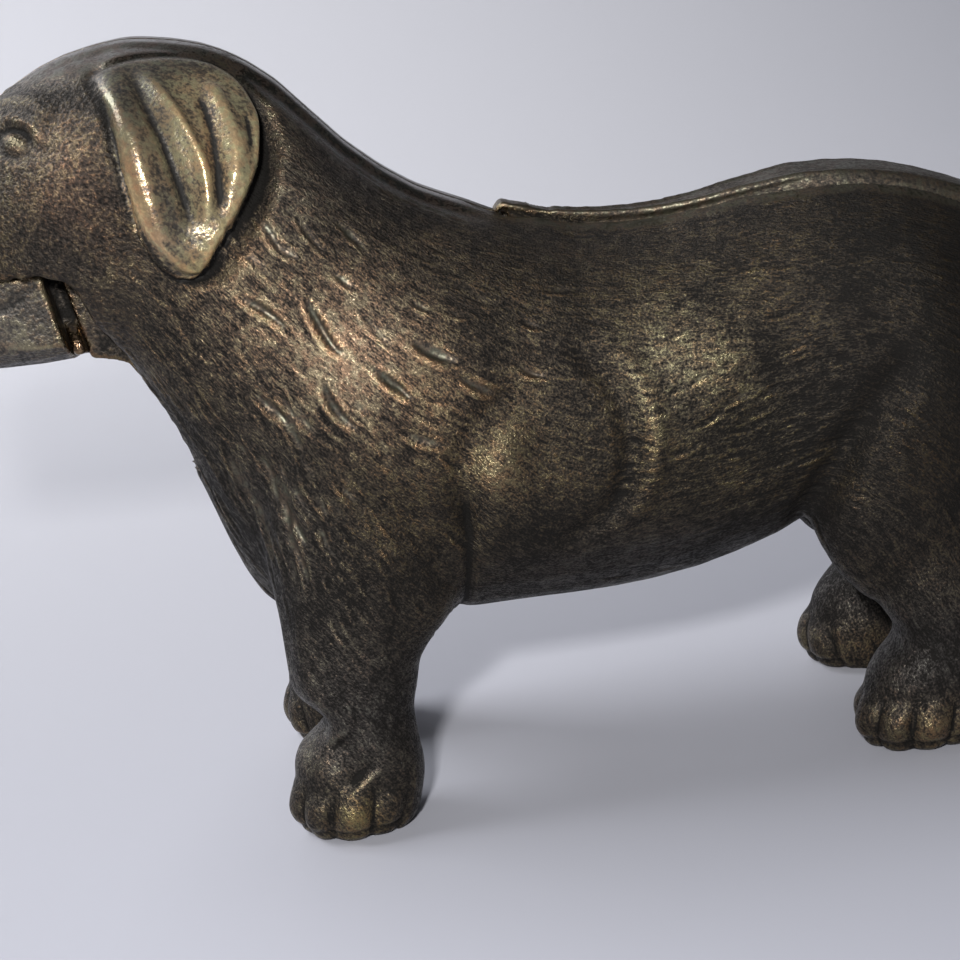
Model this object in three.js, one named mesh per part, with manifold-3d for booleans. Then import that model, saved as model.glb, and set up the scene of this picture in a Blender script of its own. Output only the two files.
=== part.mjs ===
// A standing dog nutcracker in cast iron: two hollow body halves held by four screws, and one lever casting
// that is lower jaw, arm, back bar and tail in a single piece, turning on a pin trapped between the halves.
// Units are millimetres, +Z is up, the nose points along -X and the tail along +X, and Y = 0 is the seam.
// Positions along X are measured from a plumb line 94 mm behind the nose tip. The exported group then moves
// the dog so that its origin is on the floor, under the middle of its overall length.

import * as THREE from "three";
import { mergeVertices } from "three/addons/utils/BufferGeometryUtils.js";
import Module from "manifold-3d";

const wasm = await Module();
wasm.setup();

// ---------------------------------------------------------------- driving dimensions
const NOSE_X = -94;
const TAIL_X = 176;
const WALL = 3.4; // of the hollow castings
const SEAM_GAP = 0.1; // between the two halves

const MOUTH_Z = 92.4; // roof of the mouth
const MOUTH_CORNER_X = -61;
const MOUTH_GAP = 0.3; // between the roof and the lower jaw when shut
const TOOTH = { pitch: 3.05, count: 8, radius: 1.2, sink: 0.65, firstX: -62.1 };

const PIVOT = { x: -37, z: 75 };
const PIN = { radius: 3, halfLength: 16.6, fit: 0.12, socketEndY: 17 };
const HUB = { radius: 9, half: 10.4 };
const THROAT = { half: 11, floorZ: 58, frontX: -70, rearX: PIVOT.x + HUB.radius + 2 };

const JAW = { frontX: -89.5, rearX: -61.3, half: 13.8, neckFrontX: -59, webHalf: 8.4 };
const ARM_HALF = 4;
const BLADE_HALF = 1.6; // the arm's thin end and the bar's front end
const BAR_FRONT_R = 48; // the bar's front end is an arc of this radius about the pivot
const BAR_TIP_X = 6.8; // where its lip overhangs the neck
const SLOT = { frontX: 8, floorZ: 69.5, rearX: 100, clearance: 0.5 };

const FOREPAW_Y = 18.6; // paw centres from the seam
const HINDPAW_Y = 17.8;
const EAR = { relief: 1.9, sink: 1.5, innerY: 5 }; // sink: how much lower the relief sits at the top

const SCREW = { radius: 2, fit: 0.15, headRadius: 3.8, headHeight: 2.6, headFit: 0.3, bossRadius: 5 };
const SCREW_SLOT = { width: 1, depth: 1.2 };
const SCREWS = [
  { name: "body_screw_head", x: -73, z: 99.5, seatY: 8.5, tipY: -7 },
  { name: "body_screw_shoulder", x: -20, z: 43, seatY: 19, tipY: -13 },
  { name: "body_screw_belly", x: 24, z: 39, seatY: 16.5, tipY: -13 },
  { name: "body_screw_thigh", x: 68, z: 55, seatY: 19, tipY: -13 },
];

const ACROSS = 60; // half-width of a cut that goes right through the dog
const REACH = 300; // longer than the dog

// ---------------------------------------------------------------- solids
function solidFrom(geometry) {
  const bare = geometry.clone();
  bare.deleteAttribute("normal");
  bare.deleteAttribute("uv");
  const merged = mergeVertices(bare, 1e-4);
  return new wasm.Manifold(
    new wasm.Mesh({
      numProp: 3,
      vertProperties: new Float32Array(merged.attributes.position.array),
      triVerts: new Uint32Array(merged.index.array),
    }),
  );
}

function geometryFrom(solid) {
  const mesh = solid.getMesh();
  const geometry = new THREE.BufferGeometry();
  geometry.setAttribute("position", new THREE.BufferAttribute(mesh.vertProperties, 3));
  geometry.setIndex(new THREE.BufferAttribute(mesh.triVerts, 1));
  const flat = geometry.toNonIndexed();
  flat.computeVertexNormals();
  return flat;
}

const union = (solids) => solids.reduce((sum, next) => sum.add(next));

// An outline in the X-Z plane, as thick as `half` on each side of the seam.
function slab(outline, half) {
  const shape = new THREE.Shape(outline.map(([x, z]) => new THREE.Vector2(x, z)));
  const geometry = new THREE.ExtrudeGeometry(shape, { depth: 2 * half, bevelEnabled: false });
  geometry.translate(0, 0, -half);
  geometry.rotateX(Math.PI / 2); // the shape's own up becomes +Z
  return solidFrom(geometry);
}

function box([x0, x1], [y0, y1], [z0, z1]) {
  const geometry = new THREE.BoxGeometry(x1 - x0, y1 - y0, z1 - z0);
  geometry.translate((x0 + x1) / 2, (y0 + y1) / 2, (z0 + z1) / 2);
  return solidFrom(geometry);
}

// A round bar along Y, from y0 to y1.
function crossRod(radius, { x, z }, [y0, y1], sides = 24) {
  const geometry = new THREE.CylinderGeometry(radius, radius, y1 - y0, sides);
  geometry.translate(x, (y0 + y1) / 2, z);
  return solidFrom(geometry);
}

// ---------------------------------------------------------------- lofts
// Joins rings of points into one closed geometry, with a fan over each end.
function loft(rings) {
  const count = rings[0].length;
  const centreOf = (ring) =>
    ring.reduce((sum, p) => sum.add(p), new THREE.Vector3()).divideScalar(count);
  const points = [...rings.flat(), centreOf(rings[0]), centreOf(rings.at(-1))];
  const [firstCentre, lastCentre] = [points.length - 2, points.length - 1];
  const lastRing = (rings.length - 1) * count;
  const indices = [];
  for (let j = 0; j < count; j++) {
    const k = (j + 1) % count;
    indices.push(firstCentre, k, j, lastCentre, lastRing + j, lastRing + k);
    for (let i = 0; i < lastRing; i += count) {
      indices.push(i + j, i + k, i + count + j, i + count + j, i + k, i + count + k);
    }
  }
  return new THREE.BufferGeometry().setFromPoints(points).setIndex(indices);
}

// Fills in between listed stations with a Catmull-Rom spline through each of their values.
function smoothStations(stations, stepsEach) {
  const curveOf = (key) =>
    new THREE.CatmullRomCurve3(
      stations.map((s, i) => new THREE.Vector3(i, s[key], 0)),
      false,
      "catmullrom",
    );
  const curves = Object.keys(stations[0]).map((key) => [key, curveOf(key)]);
  const steps = (stations.length - 1) * stepsEach;
  return Array.from({ length: steps + 1 }, (_, n) =>
    Object.fromEntries(curves.map(([key, curve]) => [key, curve.getPoint(n / steps).y])),
  );
}

const signedPower = (value, power) => Math.sign(value) * Math.abs(value) ** power;

// Points round a unit superellipse; 2 is a circle, and higher numbers are squarer.
function superellipse(count, squareUpper, squareLower = squareUpper) {
  return Array.from({ length: count }, (_, i) => {
    const a = (2 * Math.PI * (i + 0.5)) / count;
    const power = 2 / (Math.sin(a) > 0 ? squareUpper : squareLower);
    return [signedPower(Math.cos(a), power), signedPower(Math.sin(a), power)];
  });
}

// An outline across X: widest at `waist`, rounded over to `top` and under to `bottom`.
function bodyRing({ x, top, bottom, half, waist, squareTop, squareBottom }, count, inset = 0) {
  return superellipse(count, squareTop, squareBottom).map(([across, up]) => {
    const reach = up > 0 ? top - waist : waist - bottom;
    return new THREE.Vector3(x, (half - inset) * across, waist + (reach - inset) * up);
  });
}

const LEG_SQUARE = 2.2;

// A level outline at height z round the leg's centre (x, y).
function legRing({ z, x, y, halfX, halfY }, count, side) {
  return superellipse(count, LEG_SQUARE).map(
    ([along, out]) => new THREE.Vector3(x + halfX * along, side * y + halfY * out, z),
  );
}

function station(x, top, bottom, half, waist, squareTop = 2.2, squareBottom = 2.2) {
  return { x, top, bottom, half, waist, squareTop, squareBottom };
}

// ---------------------------------------------------------------- the dog's outer form
// Head, neck and trunk, from the nose to the rump.
const TRUNK = [
  station(NOSE_X, 102, 94, 4, 98),
  station(-92.5, 105, 86, 8.5, 96, 2.4, 2.4),
  station(-88, 107, 79, 12, 94.5, 2.5, 2.8),
  station(-80, 107.6, 77.2, 13.6, 94, 2.5, 3),
  station(-73, 110.5, 76.8, 14.8, 94.5, 2.4, 3),
  station(-66, 116, 76.6, 17.5, 96.5, 2.3, 2.8),
  station(-58, 120.3, 76.4, 20.5, 99.5, 2.2, 2.4),
  station(-51, 122, 72.5, 22.3, 101.5),
  station(-45, 122.4, 59, 23, 101),
  station(-40.5, 121.8, 43.5, 23, 97),
  station(-36.5, 121, 34, 23.2, 88),
  station(-31, 119, 30, 24.5, 76),
  station(-24, 113.8, 28.6, 26.3, 68),
  station(-15, 103.4, 28, 27.5, 63),
  station(-5, 95.2, 28.2, 28, 60),
  station(6, 90.4, 28.2, 27.8, 58.5),
  station(18, 86, 28, 26.8, 57.5),
  station(32, 85.4, 29.3, 25.8, 57.5),
  station(45, 87.4, 33, 25.4, 58.5),
  station(57, 88.4, 38, 26, 60.5),
  station(68, 87.2, 43, 26, 62.5),
  station(78, 83.3, 47, 23, 64),
  station(85, 78, 52, 17.5, 65),
  station(88.5, 72, 58, 9, 65),
];
const FORELEG = [
  { z: 0, x: -26.4, y: FOREPAW_Y, halfX: 8.6, halfY: 7.8 },
  { z: 2.5, x: -26.4, y: FOREPAW_Y, halfX: 9.9, halfY: 8.9 },
  { z: 7, x: -26.3, y: FOREPAW_Y, halfX: 10.3, halfY: 9.1 },
  { z: 12, x: -25.6, y: FOREPAW_Y, halfX: 9.7, halfY: 8.4 },
  { z: 18, x: -24.7, y: 18.4, halfX: 9.6, halfY: 8.2 },
  { z: 26, x: -24, y: 17.8, halfX: 10.3, halfY: 8.6 },
  { z: 36, x: -21.5, y: 17, halfX: 13, halfY: 10 },
  { z: 46, x: -20, y: 15.6, halfX: 15.5, halfY: 12 },
  { z: 58, x: -20, y: 14, halfX: 16, halfY: 13 },
  { z: 70, x: -19, y: 12, halfX: 12, halfY: 12 },
];
const HINDLEG = [
  { z: 0, x: 65.4, y: HINDPAW_Y, halfX: 10, halfY: 7.2 },
  { z: 2.5, x: 65.4, y: HINDPAW_Y, halfX: 11.3, halfY: 8.3 },
  { z: 7, x: 65.6, y: HINDPAW_Y, halfX: 11.5, halfY: 8.6 },
  { z: 12, x: 67, y: HINDPAW_Y, halfX: 10.4, halfY: 8.2 },
  { z: 18, x: 69, y: HINDPAW_Y, halfX: 9.4, halfY: 8 },
  { z: 26, x: 69.5, y: 17.6, halfX: 11, halfY: 8.8 },
  { z: 36, x: 68.5, y: 16, halfX: 14, halfY: 10 },
];
const THIGH = { centre: [66, 16.5, 51], radii: [18.8, 11.5, 30.5] };
const EAR_OUTLINE = [
  [-48.8, 118.2],
  [-47.2, 111],
  [-46.9, 103.5],
  [-44.8, 96.2],
  [-39.2, 91.6],
  [-33.2, 95.6],
  [-28.8, 103],
  [-27.7, 110.2],
  [-30.6, 117],
  [-38, 122],
  [-45, 123],
];
const TRUNK_SIDES = 28;
const LEG_SIDES = 16;
const CAVITY_SIDES = 18;

const trunkRings = smoothStations(TRUNK, 2);

function trunk(inset = 0) {
  return solidFrom(loft(trunkRings.map((s) => bodyRing(s, TRUNK_SIDES, inset))));
}

function leg(stations, side) {
  return solidFrom(loft(smoothStations(stations, 1).map((s) => legRing(s, LEG_SIDES, side))));
}

function thigh(side) {
  const [x, y, z] = THIGH.centre;
  const geometry = new THREE.SphereGeometry(1, 24, 12);
  geometry.scale(...THIGH.radii);
  geometry.translate(x, side * y, z);
  return solidFrom(geometry);
}

// Both ears: a leaf-shaped patch of the head's own surface on each side, standing out by the relief.
function ears() {
  const outline = new THREE.CatmullRomCurve3(
    EAR_OUTLINE.map(([x, z]) => new THREE.Vector3(x, z, 0)),
    true,
  );
  const leaf = outline.getPoints(2 * EAR_OUTLINE.length).slice(1);
  const crown = box([-REACH, REACH], [-EAR.innerY, EAR.innerY], [0, REACH]);
  const patches = slab(leaf.map((p) => [p.x, p.y]), ACROSS).subtract(crown);
  return patches.intersect(trunk(-EAR.relief).translate([0, 0, -EAR.sink]));
}

function outerForm() {
  const limbs = [-1, 1].flatMap((side) => [leg(FORELEG, side), leg(HINDLEG, side), thigh(side)]);
  return union([trunk(), ears(), ...limbs]);
}

// ---------------------------------------------------------------- teeth and the mouth
// One row of round grooves right across the mouth, their axes `sink` above the mouth line.
function teeth(sink) {
  const groove = (_, n) =>
    crossRod(
      TOOTH.radius,
      { x: TOOTH.firstX - n * TOOTH.pitch, z: MOUTH_Z + sink },
      [-ACROSS, ACROSS],
      12,
    );
  return union(Array.from({ length: TOOTH.count }, groove));
}

// Everything below the roof of the mouth and forward of the cheeks' rear edge.
function jawSpace() {
  const cheekEdge = [
    [MOUTH_CORNER_X, MOUTH_Z],
    [-57.8, 91.7],
    [-56.3, 89.9],
    [-55.5, 87],
    [-54.8, 84.4],
    [-53.3, 82.2],
    [-51, 78.4],
    [-49, 74],
  ];
  return slab([[-REACH, MOUTH_Z], [-REACH, 40], ...cheekEdge.toReversed()], ACROSS);
}

// ---------------------------------------------------------------- the lever
// The bar in the back and the tail behind it.
const BAR = [
  station(2, 64, 50, BLADE_HALF, 57, 8, 8),
  station(9, 90, 50.5, BLADE_HALF, 70, 8, 8),
  station(16, 87.3, 53, BLADE_HALF, 70, 8, 8),
  station(26, 85.8, 58, 1.9, 72, 8, 8),
  station(38, 87.8, 64, 3, 76, 8, 8),
  station(50, 90.2, 70, 4.8, 80, 7, 7),
  station(60, 90.7, 74, 6.4, 82, 6, 6),
  station(70, 89.2, 75.5, 7.4, 82, 5, 5),
  station(80, 85.8, 74.2, 7.6, 80, 4, 4),
  station(92, 80.8, 69, 7.1, 74.8, 2.8, 2.8),
  station(106, 76.8, 64, 6.8, 70.4, 2.2, 2.2),
  station(122, 75, 62, 6.8, 68.5, 2.1, 2.1),
  station(140, 76.4, 63.8, 6.4, 70.1, 2.1, 2.1),
  station(158, 81, 70, 5.5, 75.5, 2.1, 2.1),
  station(170, 86.2, 77.6, 4.2, 81.9, 2.1, 2.1),
  station(TAIL_X, 89, 84.4, 2.2, 86.7, 2.1, 2.1),
];
const BAR_SIDES = 20;
const barRings = smoothStations(BAR, 2);

// The arm inside the neck: thick near the pin, then a thin blade that rises through the slot.
const ARM_OUTLINE = [
  [PIVOT.x, PIVOT.z - HUB.radius + 1],
  [-20, 56],
  [-2, 50.4],
  [-2, 66],
  [-7, 71.5],
  [-20, 78.5],
  [PIVOT.x, PIVOT.z + HUB.radius - 1],
];
const BLADE_OUTLINE = [
  [-8, 52],
  [12, 50.6],
  [12, 58],
  [4, 59.6],
  [0, 64],
  [-8, 68],
];
const LIP_OUTLINE = [
  [BAR_TIP_X + 0.3, 90.6],
  [13, 87],
  [13, 89],
  [BAR_TIP_X + 0.7, 91.6],
  [BAR_TIP_X, 91.1],
];
const JAW_NECK_OUTLINE = [
  [PIVOT.x, PIVOT.z - HUB.radius + 0.5],
  [PIVOT.x, PIVOT.z + HUB.radius - 0.5],
  [-46, 89.4],
  [-56, 91],
  [JAW.neckFrontX, 91],
  [JAW.neckFrontX, 77.8],
  [-52, 76.2],
  [-46, 70],
];

function pivotArc(radius, fromDegrees, toDegrees, steps = 10) {
  const arc = new THREE.ArcCurve(
    PIVOT.x,
    PIVOT.z,
    radius,
    THREE.MathUtils.degToRad(fromDegrees),
    THREE.MathUtils.degToRad(toDegrees),
  );
  return arc.getPoints(steps).map((p) => [p.x, p.y]);
}

// The bar's front end is cut to an arc about the pivot, so that it swings out of the slot past its edge.
function barAndTail() {
  const bar = solidFrom(loft(barRings.map((s) => bodyRing(s, BAR_SIDES))));
  const inFront = slab([...pivotArc(BAR_FRONT_R, -24, 17.3), [-10, 120], [-10, 30]], ACROSS);
  return bar.subtract(inFront).add(slab(LIP_OUTLINE, BLADE_HALF));
}

function lowerJaw() {
  const top = MOUTH_Z - MOUTH_GAP;
  const chin = box([JAW.frontX, JAW.rearX], [-JAW.half, JAW.half], [60, top]);
  const web = box([JAW.rearX - 3, JAW.neckFrontX + 3], [-JAW.webHalf, JAW.webHalf], [78.6, top - 1.4]);
  const neck = slab(JAW_NECK_OUTLINE, HUB.half);
  return union([trunk().intersect(chin), web, neck]).subtract(teeth(TOOTH.sink));
}

function lever() {
  const hub = crossRod(HUB.radius, PIVOT, [-HUB.half, HUB.half], 32);
  const bore = crossRod(PIN.radius + PIN.fit, PIVOT, [-ACROSS, ACROSS]);
  const arm = slab(ARM_OUTLINE, ARM_HALF).add(slab(BLADE_OUTLINE, BLADE_HALF));
  return union([lowerJaw(), hub, arm, barAndTail()]).subtract(bore);
}

// ---------------------------------------------------------------- the two halves
function cavity() {
  const hollow = trunkRings.filter((s, i) => s.x > -60 && s.x < 83.5 && i % 2 === 0);
  const room = solidFrom(loft(hollow.map((s) => bodyRing(s, CAVITY_SIDES, WALL))));
  const solidHead = box([-REACH, THROAT.rearX - 1], [-ACROSS, ACROSS], [0, MOUTH_Z + 4]);
  return room.subtract(solidHead);
}

// The gap between the cheeks, and below it the slot in the breast that the jaw's neck swings into.
function throat() {
  return box([THROAT.frontX, THROAT.rearX], [-THROAT.half, THROAT.half], [THROAT.floorZ, MOUTH_Z]);
}

// Follows the bar's width from its front end out through the rump.
function backSlot() {
  const inSlot = barRings.filter((s) => s.x > 9 && s.x < SLOT.rearX);
  const side = inSlot.map((s) => [s.x, s.half + SLOT.clearance]);
  const edge = [[SLOT.frontX, BLADE_HALF + SLOT.clearance], ...side];
  const opposite = edge.toReversed().map(([x, y]) => [x, -y]);
  const shape = new THREE.Shape([...edge, ...opposite].map(([x, y]) => new THREE.Vector2(x, y)));
  const geometry = new THREE.ExtrudeGeometry(shape, { depth: REACH, bevelEnabled: false });
  geometry.translate(0, 0, SLOT.floorZ);
  return solidFrom(geometry);
}

function bodyCasting() {
  const outer = outerForm();
  const cuts = union([cavity(), jawSpace(), throat(), backSlot(), teeth(-TOOTH.sink)]);
  const bosses = union(SCREWS.map((s) => crossRod(SCREW.bossRadius, s, [-s.seatY - 5, s.seatY + 5])));
  return outer.subtract(cuts).add(bosses.intersect(outer));
}

// The screws go in from the right, through clear holes, into the left half.
function leftHalf(body) {
  const socket = crossRod(PIN.radius + PIN.fit, PIVOT, [-PIN.socketEndY, 1 - THROAT.half]);
  const tapped = union(SCREWS.map((s) => crossRod(SCREW.radius + SCREW.fit, s, [s.tipY - 1, 1])));
  const rightSide = box([-REACH, REACH], [-SEAM_GAP / 2, ACROSS], [-REACH, REACH]);
  return body.subtract(union([rightSide, socket, tapped]));
}

function rightHalf(body) {
  const socket = crossRod(PIN.radius + PIN.fit, PIVOT, [THROAT.half - 1, PIN.socketEndY]);
  const holes = union(SCREWS.map((s) => crossRod(SCREW.radius + SCREW.fit, s, [-1, ACROSS])));
  const seats = union(
    SCREWS.map((s) => crossRod(SCREW.headRadius + SCREW.headFit, s, [s.seatY, ACROSS])),
  );
  const leftSide = box([-REACH, REACH], [-ACROSS, SEAM_GAP / 2], [-REACH, REACH]);
  return body.subtract(union([leftSide, socket, holes, seats]));
}

function screw(at) {
  const headY = at.seatY + SEAM_GAP;
  const topY = headY + SCREW.headHeight;
  const shank = crossRod(SCREW.radius, at, [at.tipY, headY + 1]);
  const head = crossRod(SCREW.headRadius, at, [headY, topY]);
  const slot = box(
    [at.x - SCREW.headRadius - 1, at.x + SCREW.headRadius + 1],
    [topY - SCREW_SLOT.depth, topY + 1],
    [at.z - SCREW_SLOT.width / 2, at.z + SCREW_SLOT.width / 2],
  );
  return shank.add(head).subtract(slot);
}

// ---------------------------------------------------------------- the assembly
const bodyIron = new THREE.MeshStandardMaterial({ color: 0x4b4134, roughness: 0.42, metalness: 0.85 });
const leverIron = new THREE.MeshStandardMaterial({ color: 0x544a3c, roughness: 0.4, metalness: 0.85 });
const steel = new THREE.MeshStandardMaterial({ color: 0x8c8a85, roughness: 0.35, metalness: 1 });

function part(name, solid, material) {
  const mesh = new THREE.Mesh(geometryFrom(solid), material);
  mesh.name = name;
  return mesh;
}

const casting = bodyCasting();
const dog = new THREE.Group();
dog.add(part("body_left_half", leftHalf(casting), bodyIron));
dog.add(part("body_right_half", rightHalf(casting), bodyIron));
dog.add(part("jaw_and_tail_lever", lever(), leverIron));
dog.add(part("pivot_pin", crossRod(PIN.radius, PIVOT, [-PIN.halfLength, PIN.halfLength]), steel));
for (const at of SCREWS) dog.add(part(at.name, screw(at), steel));
dog.position.x = -(NOSE_X + TAIL_X) / 2;

export default dog;
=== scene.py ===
"""Looks for the cast iron dog nutcracker: sculpted castings, a rubbed bronze patina, and a plain studio.

The castings are worked on as arrays in "dog millimetres": X runs from the nose tip to the tail, Y is the
distance from the seam on either side, and Z is the height above the floor.
"""

import math

import bpy
import numpy as np
from mathutils import Matrix, Vector
from mathutils.bvhtree import BVHTree
from mathutils.kdtree import KDTree


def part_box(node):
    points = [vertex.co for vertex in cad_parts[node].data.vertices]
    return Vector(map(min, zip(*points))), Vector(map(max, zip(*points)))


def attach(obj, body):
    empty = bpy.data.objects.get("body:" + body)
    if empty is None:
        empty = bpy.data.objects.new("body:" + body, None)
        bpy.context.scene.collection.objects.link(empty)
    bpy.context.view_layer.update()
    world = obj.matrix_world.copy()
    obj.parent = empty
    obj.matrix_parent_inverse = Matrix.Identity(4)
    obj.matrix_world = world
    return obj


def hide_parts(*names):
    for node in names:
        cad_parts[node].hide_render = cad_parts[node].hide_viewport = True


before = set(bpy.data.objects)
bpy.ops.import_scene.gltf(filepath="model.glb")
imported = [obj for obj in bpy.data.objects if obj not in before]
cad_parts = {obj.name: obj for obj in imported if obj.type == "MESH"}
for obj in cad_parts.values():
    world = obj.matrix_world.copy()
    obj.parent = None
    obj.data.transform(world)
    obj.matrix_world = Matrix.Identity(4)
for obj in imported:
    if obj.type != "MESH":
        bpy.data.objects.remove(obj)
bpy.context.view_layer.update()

MM = 0.001
NOSE_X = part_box("body_left_half")[0].x / MM  # the nose tip
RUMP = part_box("body_left_half")[1].x / MM - NOSE_X
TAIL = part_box("jaw_and_tail_lever")[1].x / MM - NOSE_X
SLOT_START = 102  # where the lever's bar comes out of the back
BAR_RISE = 1.3  # how far the bar stands above the back
SEAM = 0.05  # each half stops this far from the middle plane

FORM_VOXEL = 1.2  # of the smooth form that the castings' skins are laid on
SKIN_VOXEL = 0.42
SKIN_REACH = 1.1  # how near the form a casting's surface counts as its skin
HOLLOW_FLOOR = 42  # the castings are hollow above this height, and the legs below it are solid

random = np.random.default_rng(11)


# ---------- meshes as arrays
def ramp(low, high, value):
    """0 at low, 1 at high, and smooth between them."""
    t = np.clip((value - low) / (high - low), 0, 1)
    return t * t * (3 - 2 * t)


def bell(value, width):
    return np.exp(-((value / width) ** 2))


def unit(vectors):
    return vectors / np.linalg.norm(vectors, axis=-1, keepdims=True).clip(1e-9)


class Shell:
    """A closed quad mesh as arrays, in dog millimetres."""

    def __init__(self, points, quads):
        self.points = points
        self.quads = quads
        edges = np.concatenate([quads[:, [i, (i + 1) % 4]] for i in range(4)])
        self.edges = np.unique(np.sort(edges, axis=1), axis=0)
        self.degree = np.bincount(self.edges.ravel(), minlength=len(points)).clip(1)

    def spread(self, values):
        """Each point's mean over the points it shares an edge with."""
        a, b = self.edges.T
        columns = values.reshape(len(self.points), -1)
        out = np.empty_like(columns)
        for i in range(columns.shape[1]):
            column = columns[:, i]
            total = np.bincount(a, column[b], len(column)) + np.bincount(b, column[a], len(column))
            out[:, i] = total / self.degree
        return out.reshape(values.shape)

    def blur(self, values, rounds):
        for _ in range(rounds):
            values = 0.5 * values + 0.5 * self.spread(values)
        return values

    def relax(self, rounds, weight=1.0):
        """Smooths without shrinking, by a step in and a slightly longer step out."""
        weight = np.broadcast_to(np.asarray(weight, float), (len(self.points),))[:, None]
        for _ in range(rounds):
            for step in (0.6, -0.63):
                self.points = self.points + step * weight * (self.spread(self.points) - self.points)

    def normals(self):
        p = self.points
        q = self.quads
        across = np.cross(p[q[:, 2]] - p[q[:, 0]], p[q[:, 3]] - p[q[:, 1]])
        total = np.zeros_like(p)
        for i in range(4):
            for axis in range(3):
                total[:, axis] += np.bincount(q[:, i], across[:, axis], len(p))
        return unit(total)


def new_mesh(name, points, faces):
    """A mesh with smooth shading."""
    mesh = bpy.data.meshes.new(name)
    mesh.from_pydata(points, [], faces)
    mesh.polygons.foreach_set("use_smooth", np.ones(len(mesh.polygons), bool))
    return mesh


def add_object(name, data):
    thing = bpy.data.objects.new(name, data)
    bpy.context.scene.collection.objects.link(thing)
    return thing


def node_arrays(name):
    """A CAD node's corners, in dog millimetres with Y signed, and its triangles."""
    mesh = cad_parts[name].data
    mesh.calc_loop_triangles()
    points = np.empty(len(mesh.vertices) * 3)
    mesh.vertices.foreach_get("co", points)
    triangles = np.empty(len(mesh.loop_triangles) * 3, np.int32)
    mesh.loop_triangles.foreach_get("vertices", triangles)
    points = points.reshape(-1, 3) / MM - (NOSE_X, 0, 0)
    return points, triangles.reshape(-1, 3)


def voxel_shell(solids, voxel):
    """One quad shell round all the given (points, triangles)."""
    starts = np.cumsum([0] + [len(points) for points, _ in solids[:-1]])
    points = np.concatenate([points for points, _ in solids])
    faces = np.concatenate([triangles + start for (_, triangles), start in zip(solids, starts)])
    mesh = new_mesh("rough", points.tolist(), faces.tolist())
    rough = add_object("rough", mesh)
    remesh = rough.modifiers.new("voxels", "REMESH")
    remesh.mode = "VOXEL"
    remesh.voxel_size = voxel
    done = rough.evaluated_get(bpy.context.evaluated_depsgraph_get()).to_mesh()
    out = np.empty(len(done.vertices) * 3)
    done.vertices.foreach_get("co", out)
    quads = np.empty(len(done.polygons) * 4, np.int32)
    done.polygons.foreach_get("vertices", quads)
    bpy.data.objects.remove(rough)
    bpy.data.meshes.remove(mesh)
    return Shell(out.reshape(-1, 3), quads.reshape(-1, 4))


def outer_shell(shell):
    """The connected part that holds the foremost point."""
    label = np.arange(len(shell.points))
    a, b = shell.edges.T
    while True:
        low = label.copy()
        np.minimum.at(low, a, label[b])
        np.minimum.at(low, b, label[a])
        low = low[low]
        if np.array_equal(low, label):
            break
        label = low
    keep = label == label[np.argmin(shell.points[:, 0])]
    number = np.cumsum(keep) - 1
    return Shell(shell.points[keep], number[shell.quads[keep[shell.quads[:, 0]]]])


# ---------- lines on the skin
CURVE_STEPS = 6  # points from one corner of a curve to the next
FADE = 0.18  # the share of a line at each end over which it fades out


def curve(*corners):
    """A smooth line through the corners."""
    corners = np.asarray(corners, float)
    padded = np.concatenate([[2 * corners[0] - corners[1]], corners, [2 * corners[-1] - corners[-2]]])
    t = np.linspace(0, 1, CURVE_STEPS, endpoint=False)[:, None]
    parts = []
    for a, b, c, d in zip(padded, padded[1:], padded[2:], padded[3:]):
        bend = (2 * a - 5 * b + 4 * c - d) * t**2 + (3 * b - a - 3 * c + d) * t**3
        parts.append(0.5 * (2 * b + (c - a) * t + bend))
    return np.concatenate([*parts, corners[-1:]])


def nearest_on(points, line):
    """Distance to a line, and how far along it (0 to 1) the nearest place is."""
    gap = np.full(len(points), np.inf)
    along = np.zeros(len(points))
    lengths = np.linalg.norm(np.diff(line, axis=0), axis=1)
    starts = np.concatenate([[0], np.cumsum(lengths)])
    for i, length in enumerate(lengths):
        step = line[i + 1] - line[i]
        t = np.clip((points - line[i]) @ step / length**2, 0, 1)
        distance = np.linalg.norm(points - line[i] - t[:, None] * step, axis=1)
        nearer = distance < gap
        gap[nearer] = distance[nearer]
        along[nearer] = (starts[i] + t[nearer] * length) / starts[-1]
    return gap, along


def drawn(points, line, width, height):
    """A rounded ridge (or groove, for a negative height) along a line, fading out at its ends."""
    gap, along = nearest_on(points, line)
    fade = ramp(0, FADE, along) * ramp(0, FADE, 1 - along)
    return height * fade * bell(gap, width)


def swell(dog, x, z, length, rise, height=1.0):
    """A soft mound on the flank."""
    return height * np.exp(-(((dog[:, 0] - x) / length) ** 2) - ((dog[:, 2] - z) / rise) ** 2)


def swell_at(dog, centre, radius, height):
    """A soft round mound about a point."""
    return height * np.exp(-(((dog - centre) / radius) ** 2).sum(axis=1))


# ---------- the sculpted shapes
EAR_EDGE = curve(
    (46.9, 12.0, 120.4), (44.8, 12.9, 119.2), (46.4, 19.4, 115.0), (47.2, 23.7, 107.1), (48.3, 24.7, 99.4),
    (50.6, 24.8, 94.6), (52.9, 24.2, 91.6), (55.0, 23.7, 90.7), (57.2, 23.7, 91.5), (59.6, 24.2, 94.6),
    (62.9, 22.8, 98.4), (66.2, 18.7, 104.2), (67.5, 13.2, 110.7), (64.9, 8.2, 116.3), (60.0, 7.6, 119.4),
    (53.8, 9.3, 120.6), (46.9, 12.0, 120.4),
)  # fmt: skip
EAR_CENTRE = np.array([56.5, 18.5, 107.5])
EAR_REACH = 32  # a little more than the ear's outline reaches from its centre
EAR_ROOM = 15.5  # no hair is chased nearer than this to the ear's centre
CHEEK_Z = 95
THROAT_SLANT = 0.35
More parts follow.
